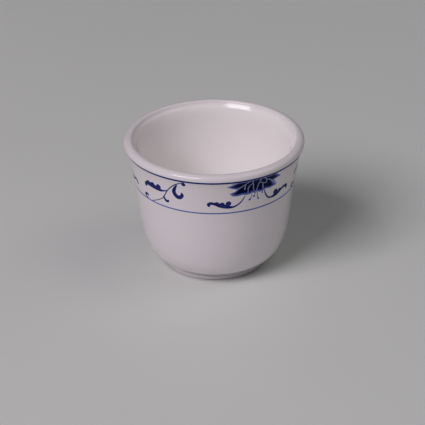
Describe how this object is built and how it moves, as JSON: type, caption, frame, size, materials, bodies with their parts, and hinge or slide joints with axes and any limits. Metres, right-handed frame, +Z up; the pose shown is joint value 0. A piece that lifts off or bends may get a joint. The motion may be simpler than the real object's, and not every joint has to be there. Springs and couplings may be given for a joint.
{
  "type": "teacup",
  "caption": "Small handleless white porcelain tea cup with a thick rounded lip, low foot ring and a blue lotus border between two lines.",
  "frame": {"origin": "centre of the foot ring's resting plane, on the cup's axis", "axes": "+Z up along the cup's axis; -Y is the front, where the border's first repeat is centred"},
  "size_m": [0.0742, 0.0742, 0.0558],
  "materials": {
    "porcelain": "bare fired porcelain, matte",
    "glaze": "glossy clear glaze over white",
    "base_glaze": "glossy clear glaze over white",
    "line_blue": "glossy blue line in the glaze",
    "pale_blue": "glossy thin grey-blue line in the glaze",
    "cobalt": "glossy dark cobalt in the glaze",
    "wash_blue": "glossy pale cobalt wash in the glaze"
  },
  "bodies": {
    "root": {"porcelain_body": "porcelain", "glaze_coat": "glaze", "base_glaze": "base_glaze", "upper_line": "line_blue", "lower_line": "pale_blue", "lotus_petals_1": "cobalt", "lotus_petals_2": "cobalt", "lotus_petals_3": "cobalt", "lotus_wash_1": "wash_blue", "lotus_wash_2": "wash_blue", "lotus_wash_3": "wash_blue", "lotus_stamens_1": "line_blue", "lotus_stamens_2": "line_blue", "lotus_stamens_3": "line_blue", "lotus_left_leaf_1": "cobalt", "lotus_left_leaf_2": "cobalt", "lotus_left_leaf_3": "cobalt", "lotus_right_leaf_1": "cobalt", "lotus_right_leaf_2": "cobalt", "lotus_right_leaf_3": "cobalt", "scroll_vine_1": "cobalt", "scroll_vine_2": "cobalt", "scroll_vine_3": "cobalt", "scroll_tendril_1": "cobalt", "scroll_tendril_2": "cobalt", "scroll_tendril_3": "cobalt", "scroll_root_leaf_1": "cobalt", "scroll_root_leaf_2": "cobalt", "scroll_root_leaf_3": "cobalt", "scroll_berry_1": "cobalt", "scroll_berry_2": "cobalt", "scroll_berry_3": "cobalt"}
  },
  "joints": []
}
